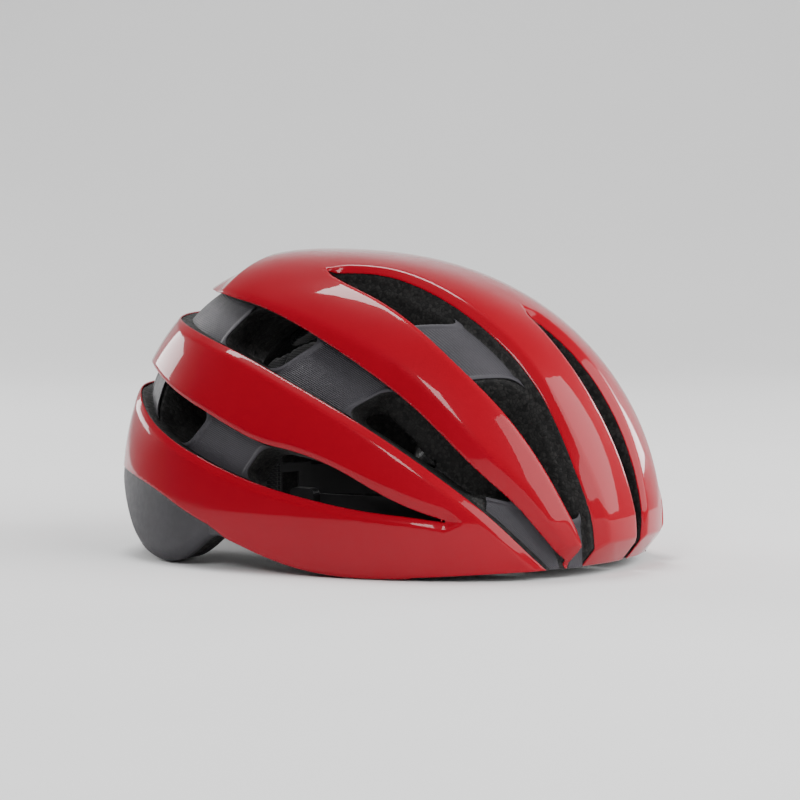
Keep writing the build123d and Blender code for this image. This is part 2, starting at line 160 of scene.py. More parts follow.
# Lines round the helmet: distance back from the middle, and height less the walls' tilt.
RIB_LOWER = Edge([(-127, -12), (-110, 12.5), (-92, 28.5), (-61, 55.2), (-31, 75.5), (0, 92.4), (40, 109.6),
                  (66, 116.3), (92, 120), (140, 123.3), (REAR_END, 124.4)])
BAND_UPPER = Edge([(-117.5, -12.5), (-100.5, 5.3), (-84.5, 17.4), (-59, 33.3), (-26, 50.9), (9, 67.2),
                   (47, 83.8), (68, 91.3), (103, 99.8), (150, 105.8), (REAR_END, 107.8)])
BAND_LOWER = Edge([(-77, 3.6), (-62, 7), (-40, 15.4), (-24, 22.8), (-8, 28.4), (7, 31.9), (21, 34.4),
                   (35, 39.3), (63.6, 52.4), (91.3, 65.2), (106, 71), (150, 78.5), (REAR_END, 80.5)])
LOW_UPPER = Edge([(-77, 3), (-57, 3.5), (-40, 3.9), (-10, 7.2), (12, 11.2), (29, 15.5), (47, 21.4),
                  (65.5, 29), (80, 36), (94.5, 43.3), (108.6, 50.8), (122, 57), (155, 63.5), (REAR_END, 65.6)])
# Lines over the crown: distance up and back over the helmet, and half-width.
RIB_UPPER = Edge([(-96, 40.4), (-88, 41.7), (-81, 43.9), (-72, 47.6), (-50, 54), (-12, 60),
                  (28, 62), (58, 58.5), (86, 53), (104, 48), (117, 42)])
INNER_RIB = Edge([(-96, 34.2), (-88, 34.8), (-80, 36.2), (-70, 37.7), (-50, 40.4),
                  (-10, 39.6), (22, 38.4), (50, 37), (82, 34), (100, 34.5), (117, 41)])
SLOT_SIDE = Edge([(-96, 1.4), (-88, 2.4), (-62, 5.2), (-25, 6.6), (12, 4.6), (30, 1.6), (38, 0.1)])
# Seen from the side: the rim, and the lower edge of the red shell at the back.
RIM = Edge([(-160, 4.4), (-120, 4.3), (-75, 1.8), (-34, 0.2), (-2, 3.3), (20, 9), (38, 15.3), (49, 16.8),
            (60, 10), (70, 3.6), (84, 0.3), (98, 2.6), (112, 10), (124, 25), (138, 39), (160, 46)])
COVER_LINE = Edge([(20, -4), (32, 9), (42, 17.5), (62, 27), (88, 37.8), (104, 42), (125, 45.2), (160, 47)])


# ---------------------------------------------------------------- the helmet as a distance field
DEEP_INSIDE = -40.0


def smax(a, b, k):
    """The larger of two fields, rounded over a width k."""
    h = np.maximum(k - np.abs(a - b), 0.0) / k
    return np.maximum(a, b) + h * h * k * 0.25


def smin(a, b, k):
    return -smax(-a, -b, k)


def step(x):
    """A smooth step from 0 to 1."""
    x = np.clip(x, 0.0, 1.0)
    return x * x * (3 - 2 * x)


def tuck(x, y, z):
    """How far the rim has turned in under the dome at a height."""
    low = np.clip((TUCK_TOP - z) / TUCK_TOP, 0.0, 1.2)
    forward = np.clip(-y / TUCK_REACH, 0.0, 1.1)
    front = TUCK_BROW + (TUCK_FRONT - TUCK_BROW) * step((np.abs(x) - 48.0) / 12.0)
    return (TUCK_SIDE + front * forward ** 2) * low ** TUCK_POWER


def dome(x, y, z):
    """Distance from the outer form, negative inside it."""
    reach_in = np.sqrt(x ** 2 + (y - DOME_MIDDLE) ** 2) + 1e-6
    pull = tuck(x, y, z)
    x = x + x / reach_in * pull
    y = y + (y - DOME_MIDDLE) / reach_in * pull
    middle = DOME_MIDDLE + DOME_DRIFT * z
    reach = np.where(y < middle, FRONT_LENGTH, REAR_LENGTH)
    u = np.abs(x) / HALF_WIDTH
    v = np.abs(y - middle) / reach
    w = np.maximum(z - DOME_BASE, 0.0) / (HEIGHT - DOME_BASE)
    total = u ** PLAN_POWER + v ** PLAN_POWER + w ** RISE_POWER + 1e-9
    slope_x = PLAN_POWER * u ** (PLAN_POWER - 1) / HALF_WIDTH
    slope_y = PLAN_POWER * v ** (PLAN_POWER - 1) / reach * np.sign(y - middle)
    slope_z = RISE_POWER * w ** (RISE_POWER - 1) / (HEIGHT - DOME_BASE) - DOME_DRIFT * slope_y
    steep = np.sqrt(slope_x ** 2 + slope_y ** 2 + slope_z ** 2) + 1e-6
    level = total ** (1 / MEAN_POWER)
    return (level - 1) / (steep * level / total / MEAN_POWER)


def round_coordinates(x, y, z):
    """Distance back round the helmet, and height less the walls' tilt."""
    x = np.abs(x)
    behind = np.maximum(y - TURN_Y, 0.0)
    radius = np.sqrt(x ** 2 + behind ** 2)
    back = np.where(y > TURN_Y, TURN_Y + TURN_RADIUS * np.arctan2(behind, x + 1e-6), y)
    return back, z - TILT * radius


def over_coordinates(y, z):
    """Distance up and back over the helmet, and distance out towards the front and top."""
    return (y + z) * ROOT_HALF, (z - y) * ROOT_HALF


def past_line(a, b, inside, t, value):
    """Signed distance from the straight line a to b, negative on the side of the point inside."""
    along = np.array([b[0] - a[0], b[1] - a[1]], float)
    along /= np.hypot(*along)
    sign = along[0] * (inside[1] - a[1]) - along[1] * (inside[0] - a[0])
    return (along[1] * (t - a[0]) - along[0] * (value - a[1])) * np.sign(sign)


class Fields:
    """Every distance that the helmet's shape is made of, at some points."""

    def __init__(self, x, y, z):
        self.x, self.y, self.z = x, y, z
        self.dome = dome(x, y, z)
        self.back, self.height = round_coordinates(x, y, z)
        self.over, self.out = over_coordinates(y, z)
        half = np.abs(x)
        self.rib_lower = RIB_LOWER.off(self.back, self.height, TILT)
        self.band_upper = -BAND_UPPER.off(self.back, self.height, TILT)
        self.band_lower = BAND_LOWER.off(self.back, self.height, TILT)
        self.low_upper = -LOW_UPPER.off(self.back, self.height, TILT)
        self.rib_upper = RIB_UPPER.off(self.over, half)
        self.inner_rib = -INNER_RIB.off(self.over, half)
        self.slot_side = SLOT_SIDE.off(self.over, half)
        inner = OVER_INNER - self.out
        self.upper = np.maximum(self.rib_lower, self.band_upper)
        beside = np.maximum(self.upper, UPPER_MARGIN - self.rib_upper)
        self.upper = np.where(self.y < 0, beside, self.upper)
        self.lower = np.maximum(np.maximum(self.band_lower, self.low_upper), LOWER_FRONT - self.back)
        self.rib = np.maximum(np.maximum(self.rib_upper, self.inner_rib), self.over - RIB_BACK)
        self.rib = np.maximum(self.rib, inner)
        self.slot = np.maximum(np.maximum(self.slot_side, self.over - SLOT_BACK), inner)
        self.cover = COVER_LINE.off(y, z)
        self.rim = -RIM.off(y, z)

    def chamfers(self):
        """(distance from the edge, width, depth, share faded away) of each chamfer on a shell edge."""
        facet = np.interp(self.back, [-127, -100, -68, -42, -4, 30, 90],
                          [7.3, 10.1, 11.9, 11.9, 7.0, 4.0, 2.5])
        low = step((-self.over - 20.0) / 60.0)
        tip = step((-self.back - 20.0) / 40.0)
        lower_end = 1 - step((self.back + 90.0) / 14.0)
        crown_end = 1 - step((124.0 - self.over) / 12.0)
        slot_end = 1 - step((46.0 - self.over) / 14.0)
        return [
            (self.rib_lower, facet, 0.33 * facet, 0.0),
            (self.band_upper, 4.2, 2.3, 0.0),
            (self.band_lower, 2.2 + 2.6 * tip, 1.1 + 0.9 * tip, lower_end),
            (self.low_upper, 3.8, 2.0, lower_end),
            (self.rib_upper, 2.6, 1.5, crown_end),
            (self.inner_rib, 3.6 + 2.6 * low, 2.9, crown_end),
            (self.slot_side, 5.2 - 2.0 * low, 3.0 - 0.9 * low, slot_end),
        ]

    def channels(self):
        return (self.upper, self.lower, self.rib, self.slot)

    def edge(self):
        """Distance outside the nearest channel, negative inside one."""
        return np.minimum(np.minimum(self.upper, self.lower), np.minimum(self.rib, self.slot))

    def windows(self):
        """Distances outside the openings that run right through the foam."""
        b, h, w = self.back, self.height, self.over
        half = np.abs(self.x)
        k = WINDOW_ROUND
        upper_rear = smax(smax(self.upper, past_line((70, 78), (44, 122), (30, 90), b, h), k),
                          past_line((-8, 104), (38, 63), (30, 90), b, h), k)
        upper_front = smax(smax(self.upper, past_line((-7, 46), (-45, 74.5), (-70, 40), b, h), k),
                           past_line((-106, 18.2), (-80, 20.5), (-70, 40), b, h), 3.0)
        lower_rear = smax(smax(self.lower, past_line((76, 26), (52, 58), (90, 55), b, h), k), b - 104.0, k)
        lower_front = smax(self.lower, past_line((41, 8), (23, 36), (0, 20), b, h), k)
        back = smax(smax(self.lower, 134.0 - b, k), b - (REAR_END - 9.0), k)
        crown = smax(self.rib, past_line((62, 69), (34, 41), (45, 90), half, w), k)
        brow = smax(smax(self.rib, past_line((68, 24), (34, 0.5), (45, -30), half, w), k),
                    past_line((34, -70), (60, -62), (45, -30), half, w), 4.0)
        slot = smax(smax(self.slot, -82.0 - w, 3.0), w - 33.0, 3.0)
        return (upper_rear, upper_front, lower_rear, lower_front, back, crown, brow, slot)


def outer_solid(f, skin=0.0, wall=0.0):
    """The helmet without its head cavity: the dome, its chamfered ribs, channels and rim."""
    surface = f.dome + skin
    body = surface + COVER_SINK * step(0.5 - f.cover / COVER_STEP)
    for off, width, depth, faded in f.chamfers():
        sunk = depth - np.abs(off) * depth / width - faded * (depth + 1.0)
        body = smax(body, (surface + sunk) / np.sqrt(1 + (depth / width) ** 2), BEVEL_ROUND)
    at_brow = (f.rib_lower > -2.0) & (f.y < BROW_END)
    brow = np.where(at_brow, surface + BROW_TURN * (BROW_CREASE - f.z), DEEP_INSIDE)
    body = smax(body, brow / math.hypot(1.0, BROW_TURN), BEVEL_ROUND)
    corner = CORNER_DEPTH * (1 - (f.x / CORNER_X) ** 2)
    corner = corner - CORNER_FADE * (1 - step((f.y - CORNER_START) / CORNER_RUN))
    body = smax(body, surface + corner, 0.5)
    under = np.where(f.y > BACK_START, surface + BACK_EDGE + BACK_TURN * f.rim, DEEP_INSIDE)
    body = smax(body, under / math.hypot(1.0, BACK_TURN), BEVEL_ROUND)
    body = smax(body, f.rim + wall, 1.6)
    arch = arch_distance(f.x, f.z)
    body = smax(body, -np.maximum(arch, ARCH_FRONT - f.y) + wall, 2.0)
    for channel in f.channels():
        cut = smax(channel - wall, -(f.dome + FLOOR_DEPTH), 2.0)
        body = smax(body, -cut, BEVEL_ROUND)
    return body


def arch_distance(x, z):
    """The rounded doorway at the back that leaves room for the dial."""
    across = np.abs(x) - (ARCH_HALF - ARCH_CORNER)
    up = z - (ARCH_HEIGHT - ARCH_CORNER)
    corner = np.sqrt(np.maximum(across, 0) ** 2 + np.maximum(up, 0) ** 2)
    return corner + np.minimum(np.maximum(across, up), 0) - ARCH_CORNER


def head_distance(x, y, z):
    """The space for the head: a dome, straight sides under it, and a flare at the nape."""
    rise = np.maximum(z - HEAD_BASE, 0.0)
    a, b, c = HEAD
    level = np.sqrt((x / a) ** 2 + (y / b) ** 2 + (rise / c) ** 2) + 1e-6
    steep = np.sqrt((x / a ** 2) ** 2 + (y / b ** 2) ** 2 + (rise / c ** 2) ** 2) / level + 1e-6
    main = (level - 1) / steep
    part = (z - NAPE_FOOT) / (NAPE_TOP - NAPE_FOOT)
    wide = NAPE_WIDE[0] + (NAPE_WIDE[1] - NAPE_WIDE[0]) * part
    long = NAPE_LONG[0] + (NAPE_LONG[1] - NAPE_LONG[0]) * part
    y = y - NAPE_BACK
    level = np.sqrt((x / wide) ** 2 + (y / long) ** 2) + 1e-6
    steep = np.sqrt((x / wide ** 2) ** 2 + (y / long ** 2) ** 2) / level + 1e-6
    nape = np.maximum((level - 1) / steep, z - NAPE_TOP)
    return smin(main, nape, 3.0)


def foam_solid(f):
    """The foam liner: the outer solid under the shells, less the cavity and the openings."""
    body = outer_solid(f, skin=SHELL_THICK + SKIN_GAP, wall=WALL_GAP)
    body = smax(body, -head_distance(f.x, f.y, f.z), 2.5)
    for window in f.windows():
        body = smax(body, -(window - WALL_GAP), 2.0)
    sides = [np.abs(at - middle) - half
             for at, middle, half in zip((f.x, f.y, f.z), POCKET_MIDDLE, POCKET_HALF)]
    return smax(body, -np.max(sides, 0), 1.0)


# ---------------------------------------------------------------- turning a field into a mesh
FAR_OUTSIDE = 50.0
BATCH = 400000


def blocks_near(solid, low, high, cell, block):
    """How many blocks of cells fill a box, and which of them a field's surface may cross."""
    counts = [int(math.ceil((h - l) / cell / block)) for l, h in zip(low, high)]
    centre = [low[i] + (np.arange(counts[i]) + 0.5) * block * cell for i in range(3)]
    grid = np.meshgrid(*centre, indexing="ij")
    values = solid(Fields(*[g.ravel() for g in grid])).reshape(grid[0].shape)
    near = np.abs(values) < block * cell * 1.25
    return counts, near


def batch_grid(solid, low, high, cell, block=8):
    """Values of a field on a fine grid, and a mask of the points that were worked out."""
    counts, near = blocks_near(solid, low, high, cell, block)
    shape = [c * block + 1 for c in counts]
    mask = np.zeros(shape, bool)
    for i, j, k in np.argwhere(near):
        mask[tuple(slice(c * block, (c + 1) * block + 1) for c in (i, j, k))] = True
    values = np.full(shape, FAR_OUTSIDE, np.float32)
    index = np.argwhere(mask)
    result = np.empty(len(index), np.float32)
    for start in range(0, len(index), BATCH):
        part = index[start:start + BATCH]
        points = [low[n] + part[:, n] * cell for n in range(3)]
        result[start:start + BATCH] = solid(Fields(*points))
    values[mask] = result
    return values, mask


def surface_net(values, mask, low, cell):
    """Quads and points where a grid of values crosses zero, only between worked-out values."""
    inside = values < 0
    corner = [(i, j, k) for i in (0, 1) for j in (0, 1) for k in (0, 1)]
    n = np.array(values.shape) - 1

    def part(array, offset):
        return array[offset[0]:offset[0] + n[0], offset[1]:offset[1] + n[1], offset[2]:offset[2] + n[2]]

    some = np.zeros(n, bool)
    every = np.ones(n, bool)
    ready = np.ones(n, bool)
    for offset in corner:
        some |= part(inside, offset)
        every &= part(inside, offset)
        ready &= part(mask, offset)
    active = some & ~every & ready
    number = np.full(n, -1, np.int64)
    cells = np.argwhere(active)
    number[active] = np.arange(len(cells))
    total = np.zeros((len(cells), 3))
    crossings = np.zeros(len(cells))
    for a in corner:
        for axis in range(3):
            if a[axis]:
                continue
            b = list(a)
            b[axis] = 1
            va = part(values, a)[active].astype(float)
            vb = part(values, b)[active].astype(float)
            cross = (va < 0) != (vb < 0)
            share = np.where(cross, va / np.where(cross, va - vb, 1.0), 0.0)
            point = np.tile(np.array(a, float), (len(cells), 1))
            point[:, axis] += share
            total += point * cross[:, None]
            crossings += cross
    points = low + (cells + total / crossings[:, None]) * cell
    quads = []
    for axis in range(3):
        u, v = (axis + 1) % 3, (axis + 2) % 3
        first = [slice(0, s) for s in values.shape]
        second = list(first)
        first[axis] = slice(0, -1)
        second[axis] = slice(1, None)
        a, b = inside[tuple(first)], inside[tuple(second)]
        edges = np.argwhere(a != b)
        keep = (edges[:, u] > 0) & (edges[:, v] > 0) & (edges[:, u] < n[u]) & (edges[:, v] < n[v])
        edges = edges[keep]
        ring = []
        for du, dv in ((-1, -1), (0, -1), (0, 0), (-1, 0)):
            at = edges.copy()
            at[:, u] += du
            at[:, v] += dv
            ring.append(number[at[:, 0], at[:, 1], at[:, 2]])
        quad = np.stack(ring, 1)
        flip = ~a[edges[:, 0], edges[:, 1], edges[:, 2]]
        quad[flip] = quad[flip][:, ::-1]
        quads.append(quad[(quad >= 0).all(1)])
    return points, np.concatenate(quads)


def gradient(solid, points, reach=0.25):
    """Value and slope of a field at some points, from four values around each."""
    corners = np.array([(1, -1, -1), (-1, -1, 1), (-1, 1, -1), (1, 1, 1)], float)
    slope = np.zeros_like(points)
    value = np.zeros(len(points))
    for c in corners:
        v = solid(Fields(*(points + c * reach).T))
        slope += c * v[:, None]
        value += v
    return value / 4, slope / (4 * reach)


def settle(solid, points, rounds=3):
    """Points moved on to a field's zero surface, and the surface's normals there."""
    for _ in range(rounds):
        value, slope = gradient(solid, points)
        size = np.maximum((slope ** 2).sum(1), 0.15)
        points = points - slope * np.clip(value / size, -0.8, 0.8)[:, None]
    _, slope = gradient(solid, points)
    return points, slope / np.maximum(np.linalg.norm(slope, axis=1), 1e-6)[:, None]


def polygonise(solid, low, high, cell):
    """A mesh of a field's surface: points, quads and normals."""
    low = np.array(low, float)
    values, mask = batch_grid(solid, low, high, cell)
    points, quads = surface_net(values, mask, low, cell)
    points, normals = settle(solid, points)
    return points, quads, normals


# ---------------------------------------------------------------- cutting a mesh along a field
def triangles_of(quads):
    """Two triangles for each quad."""
    return np.concatenate([quads[:, [0, 1, 2]], quads[:, [0, 2, 3]]])


def clip(points, normals, triangles, value):
    """The triangles where value is positive, cut along its zero line."""
    value = np.where(np.abs(value) < 1e-4, 1e-4, value)
    positive = value > 0
    count = positive[triangles].sum(1)
    kept = [triangles[count == 3]]
    edge_points = {}
    new_points, new_normals, new_tris = [], [], []
    base = len(points)

    def crossing(i, j):
        key = (i, j) if i < j else (j, i)
        if key not in edge_points:
            a, b = key
            share = value[a] / (value[a] - value[b])
            edge_points[key] = base + len(new_points)
            new_points.append(points[a] + (points[b] - points[a]) * share)
            new_normals.append(normals[a] + (normals[b] - normals[a]) * share)
        return edge_points[key]

    for tri in triangles[(count == 1) | (count == 2)]:
        flags = positive[tri]
        lone = int(np.argmax(flags if flags.sum() == 1 else ~flags))
        a, b, c = int(tri[lone]), int(tri[(lone + 1) % 3]), int(tri[(lone + 2) % 3])
        ab, ac = crossing(a, b), crossing(a, c)
        if flags.sum() == 1:
            new_tris.append((a, ab, ac))
        else:
            new_tris += [(ab, b, c), (ab, c, ac)]
    if new_tris:
        kept.append(np.array(new_tris))
        points = np.concatenate([points, np.array(new_points)])
        normals = np.concatenate([normals, np.array(new_normals)])
    return points, normals, np.concatenate(kept)


def pieces_of(triangles, total):
    """Group number of each triangle, where triangles that share a point share a group."""
    label = np.arange(total)
    while True:
        low = label[triangles].min(1)
        new = label.copy()
        for corner in range(3):
            np.minimum.at(new, triangles[:, corner], low)
        new = new[new]
        if (new == label).all():
            return label[triangles[:, 0]]
        label = new


def compact(points, normals, triangles):
    """The same triangles, with only the points that they use."""
    used = np.unique(triangles)
    number = np.full(len(points), -1)
    number[used] = np.arange(len(used))
    return points[used], normals[used], number[triangles]


def thickened(points, normals, triangles, thick):
    """A closed sheet from an open one: an inner copy and a wall along every free edge."""
    n = len(points)
    unit = normals / np.linalg.norm(normals, axis=1)[:, None]
    inner = points - unit * thick
    edges = np.concatenate([triangles[:, [0, 1]], triangles[:, [1, 2]], triangles[:, [2, 0]]])
    key = np.sort(edges, 1)
    _, index, counts = np.unique(key[:, 0] * (n + 1) + key[:, 1], return_index=True, return_counts=True)
    free = edges[index[counts == 1]]
    wall = np.concatenate([np.stack([free[:, 1], free[:, 0], free[:, 0] + n], 1),
                           np.stack([free[:, 1], free[:, 0] + n, free[:, 1] + n], 1)])
    return (np.concatenate([points, inner]), np.concatenate([unit, -unit]),
            np.concatenate([triangles, triangles[:, ::-1] + n, wall]))


# ---------------------------------------------------------------- Blender objects
def make_object(name, points, faces, material, smooth=True):
    """A mesh object from points in millimetres."""
    mesh = bpy.data.meshes.new(name)
    mesh.from_pydata(((np.asarray(points) + CENTRE_SHIFT) * MM).tolist(), [], np.asarray(faces).tolist())
    mesh.update()
    mesh.polygons.foreach_set("use_smooth", [smooth] * len(mesh.polygons))
    obj = bpy.data.objects.new(name, mesh)
    bpy.context.scene.collection.objects.link(obj)
    mesh.materials.append(material)
    return obj


def set_normals(obj, normals):
    """Exact shading normals, so that gloss runs smoothly over the facets."""
    obj.data.normals_split_custom_set_from_vertices(normals.tolist())


def part_of(node, obj, body="helmet"):
    """A new piece that stands for one CAD node and moves with its body."""
    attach(obj, body)
    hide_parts(node)
    return obj


# ---------------------------------------------------------------- materials
def material(name, **values):
    """A principled material, with the values that are the same all over set on its sockets."""
    made = bpy.data.materials.new(name)
    made.use_nodes = True
    shader = made.node_tree.nodes["Principled BSDF"]
    for key, value in values.items():
        shader.inputs[key.replace("_", " ")].default_value = value
    return made


def node(made, kind, **settings):
    """A shader node; a setting whose name is an input's sets that input."""
    new = made.node_tree.nodes.new(kind)
    for key, value in settings.items():
        if hasattr(new, key):
            setattr(new, key, value)
        else:
            new.inputs[key.replace("_", " ")].default_value = value
    return new


def link(made, source, target):
    made.node_tree.links.new(source, target)


def ramp(made, source, low, high, at_low, at_high):
    """Two values or colours mixed by a noise, between two of its levels."""
    mixer = node(made, "ShaderNodeValToRGB")
    mixer.color_ramp.elements[0].position = at_low
    mixer.color_ramp.elements[1].position = at_high
    mixer.color_ramp.elements[0].color = low
    mixer.color_ramp.elements[1].color = high
    link(made, source, mixer.inputs["Fac"])
    return mixer.outputs["Color"]


def grey(value):
    return (value, value, value, 1.0)


def noise(made, scale, detail=3.0, roughness=0.55):
    place = node(made, "ShaderNodeTexCoord")
    found = node(made, "ShaderNodeTexNoise", Scale=scale, Detail=detail, Roughness=roughness)
    link(made, place.outputs["Object"], found.inputs["Vector"])
    return found.outputs["Fac"]


def bump(made, source, strength, distance, under=None):
    raised = node(made, "ShaderNodeBump", Strength=strength, Distance=distance)
    link(made, source, raised.inputs["Height"])
    if under is not None:
        link(made, under, raised.inputs["Normal"])
    return raised.outputs["Normal"]


def shade(made, **sources):
    shader = made.node_tree.nodes["Principled BSDF"]
    for key, source in sources.items():
        link(made, source, shader.inputs[key.replace("_", " ")])
    return made


def gloss_red():
    made = material("gloss_red", Coat_Weight=1.0, Coat_Roughness=0.03, Coat_IOR=1.3, Specular_IOR_Level=0.05)
    colour = ramp(made, noise(made, 9.0), (0.28, 0.0, 0.009, 1), (0.315, 0.0, 0.011, 1), 0.3, 0.7)
    rough = ramp(made, noise(made, 60.0), grey(0.30), grey(0.36), 0.3, 0.7)
    peel = bump(made, noise(made, 300.0, 0.0), 0.06, 0.0002)
    return shade(made, Base_Color=colour, Roughness=rough, Coat_Normal=peel)


def matte_panel(name, dark, light, grain=900.0):
    made = material(name, Specular_IOR_Level=0.42)
    colour = ramp(made, noise(made, 40.0), dark, light, 0.3, 0.7)
    rough = ramp(made, noise(made, 300.0), grey(0.5), grey(0.62), 0.3, 0.7)
    raised = bump(made, noise(made, grain, 2.0), 0.18, 0.0002)
    return shade(made, Base_Color=colour, Roughness=rough, Normal=raised)


def bead_foam():
    made = material("bead_foam", Specular_IOR_Level=0.35)
    place = node(made, "ShaderNodeTexCoord")
    beads = node(made, "ShaderNodeTexVoronoi", Scale=520.0, feature="F1")
    cracks = node(made, "ShaderNodeTexVoronoi", Scale=520.0, feature="DISTANCE_TO_EDGE")
    for cell in (beads, cracks):
        link(made, place.outputs["Object"], cell.inputs["Vector"])
    seam = ramp(made, cracks.outputs["Distance"], grey(0.35), grey(1.0), 0.0, 0.2)
    tone = node(made, "ShaderNodeSeparateColor")
    link(made, beads.outputs["Color"], tone.inputs["Color"])
    bead = ramp(made, tone.outputs["Red"], (0.009, 0.009, 0.0092, 1), (0.034, 0.033, 0.032, 1), 0.0, 1.0)
    mix = node(made, "ShaderNodeMix", data_type="RGBA", blend_type="MULTIPLY")
    mix.inputs["Factor"].default_value = 0.8
    link(made, bead, mix.inputs["A"])
    link(made, seam, mix.inputs["B"])
    rough = ramp(made, tone.outputs["Green"], grey(0.5), grey(0.75), 0.0, 1.0)
    raised = bump(made, seam, 0.35, 0.0004)
    return shade(made, Base_Color=mix.outputs["Result"], Roughness=rough, Normal=raised)


def satin_plastic(name, dark, light):
    made = material(name, Specular_IOR_Level=0.5)
    colour = ramp(made, noise(made, 60.0), dark, light, 0.3, 0.7)
    rough = ramp(made, noise(made, 500.0), grey(0.36), grey(0.5), 0.3, 0.7)
    raised = bump(made, noise(made, 1500.0, 2.0), 0.12, 0.0001)
    return shade(made, Base_Color=colour, Roughness=rough, Normal=raised)


def knit(name):
    made = material(name, Sheen_Weight=0.35, Sheen_Roughness=0.5, Specular_IOR_Level=0.2)
    place = node(made, "ShaderNodeTexCoord")
    rows = node(made, "ShaderNodeTexWave", Scale=260.0, Distortion=1.2, bands_direction="Z")
    columns = node(made, "ShaderNodeTexWave", Scale=260.0, Distortion=1.2, bands_direction="DIAGONAL")
    for wave in (rows, columns):
        link(made, place.outputs["Object"], wave.inputs["Vector"])
    cross = node(made, "ShaderNodeMath", operation="MULTIPLY")
    link(made, rows.outputs["Fac"], cross.inputs[0])
    link(made, columns.outputs["Fac"], cross.inputs[1])
    colour = ramp(made, cross.outputs["Value"], (0.012, 0.012, 0.013, 1), (0.055, 0.055, 0.058, 1), 0.0, 0.8)
    rough = ramp(made, noise(made, 120.0), grey(0.8), grey(0.95), 0.3, 0.7)
    raised = bump(made, cross.outputs["Value"], 0.5, 0.0004)
    return shade(made, Base_Color=colour, Roughness=rough, Normal=raised)


def zinc():
    made = material("zinc", Metallic=1.0)
    colour = ramp(made, noise(made, 90.0), (0.32, 0.32, 0.33, 1), (0.46, 0.46, 0.47, 1), 0.3, 0.7)
    rough = ramp(made, noise(made, 700.0), grey(0.25), grey(0.42), 0.3, 0.7)
    return shade(made, Base_Color=colour, Roughness=rough, Normal=bump(made, noise(made, 900.0), 0.1, 0.0001))


RED = gloss_red()
DARK = matte_panel("dark_panel", (0.034, 0.032, 0.039, 1), (0.047, 0.044, 0.052, 1))
COVER = matte_panel("lobe_panel", (0.030, 0.029, 0.033, 1), (0.041, 0.039, 0.045, 1), 600.0)
FOAM = bead_foam()
SATIN = satin_plastic("satin_black", (0.016, 0.016, 0.017, 1), (0.028, 0.028, 0.03, 1))
RUBBER = matte_panel("dial_rubber", (0.018, 0.018, 0.019, 1), (0.032, 0.032, 0.034, 1), 1400.0)
ZINC = zinc()
KNIT = knit("pad_knit")

# ---------------------------------------------------------------- shells, lobe cover and foam
LOW_CORNER = (-112.0, -150.0, -6.0)
HIGH_CORNER = (112.0, 154.0, 164.0)
WRAP_DEPTH = 6.0
BACK_WRAP = 4.0
SMALLEST_SKIN = 400
points, quads, normals = polygonise(outer_solid, LOW_CORNER, HIGH_CORNER, SHELL_CELL)
triangles = triangles_of(quads)


def wrapped(f):
    """Positive where the skins cover the surface: round the rim, but not under the brow's edge."""
    turned = BROW_TURN * np.maximum(BROW_CREASE - f.z, 0.0) * (f.y < BROW_END)
    reach = f.dome + WRAP_DEPTH + turned + BACK_WRAP * (f.y > BACK_START)
    return np.where(f.y < BROW_END, np.minimum(reach, -RIM_GAP - f.rim), reach)


def skin_pieces(side):
    """The outer skin above (1) or below (-1) the cover line, without the walls of the channels."""
    p, n, t = points, normals, triangles
    for value in (lambda f: f.cover * side - 0.25, lambda f: f.edge() - 0.22, wrapped):
        p, n, t = clip(p, n, t, value(Fields(*p.T)))
    group = pieces_of(t, len(p))
    found = []
    for label in np.unique(group):
        chosen = t[group == label]
        if len(chosen) > SMALLEST_SKIN:
            found.append(compact(p, n, chosen))
    return sorted(found, key=lambda piece: len(piece[2]), reverse=True)


def skin_object(name, pieces, made, thick):
    """Closed sheets of one node, as one object."""
    shift = 0
    parts = []
    for p, n, t in pieces:
        p, n, t = thickened(p, n, t, thick)
        parts.append((p, n, t + shift))
        shift += len(p)
    p, n, t = (np.concatenate(group) for group in zip(*parts))
    obj = make_object(name, p, t, made)
    set_normals(obj, n)
    return obj


red = skin_pieces(1)
red = sorted(red[:2], key=lambda piece: piece[0][:, 2].mean())
part_of("lower_shell", skin_object("lower_shell_skin", red[:1], RED, SHELL_THICK))
part_of("crown_shell", skin_object("crown_shell_skin", red[1:], RED, SHELL_THICK))
cover = skin_pieces(-1)
part_of("rear_lobe_cover", skin_object("lobe_cover_skin", cover, COVER, SHELL_THICK))

p, q, n = polygonise(foam_solid, LOW_CORNER, HIGH_CORNER, FOAM_CELL)
foam = make_object("foam_liner_body", p, q, FOAM)
set_normals(foam, n)
part_of("foam_liner", foam)


# ---------------------------------------------------------------- grooved webs at the bottom of the channels
WEB_RUN = 0.8
WEB_STEP = 0.15
GROOVE_PITCH = 1.05
LIP_WIDTH = 2.4
LIP_RISE = 0.9
HALVINGS = 26


def on_round(t, level, depth):
    """Points at a depth under the dome, from the distance back and the tilted height."""
    turn = np.maximum(t - TURN_Y, 0.0) / TURN_RADIUS
    low, high = np.full_like(t, 15.0), np.full_like(t, 160.0)
    for _ in range(HALVINGS):
        radius = (low + high) / 2
        place = (radius * np.cos(turn), np.where(t > TURN_Y, TURN_Y + radius * np.sin(turn), t),
                 level + TILT * radius)
        inside = dome(*place) + depth < 0
        low, high = np.where(inside, radius, low), np.where(inside, high, radius)
    return np.stack([-place[0], place[1], place[2]], -1)


def on_over(t, level, depth):
    """Points at a depth under the dome, from the distance over it and the half-width."""
    low, high = np.full_like(t, 20.0), np.full_like(t, 210.0)
    for _ in range(HALVINGS):
        out = (low + high) / 2
        place = (level, (t - out) * ROOT_HALF, (t + out) * ROOT_HALF)
        inside = dome(*place) + depth < 0
        low, high = np.where(inside, out, low), np.where(inside, high, out)
    return np.stack([-place[0], place[1], place[2]], -1)


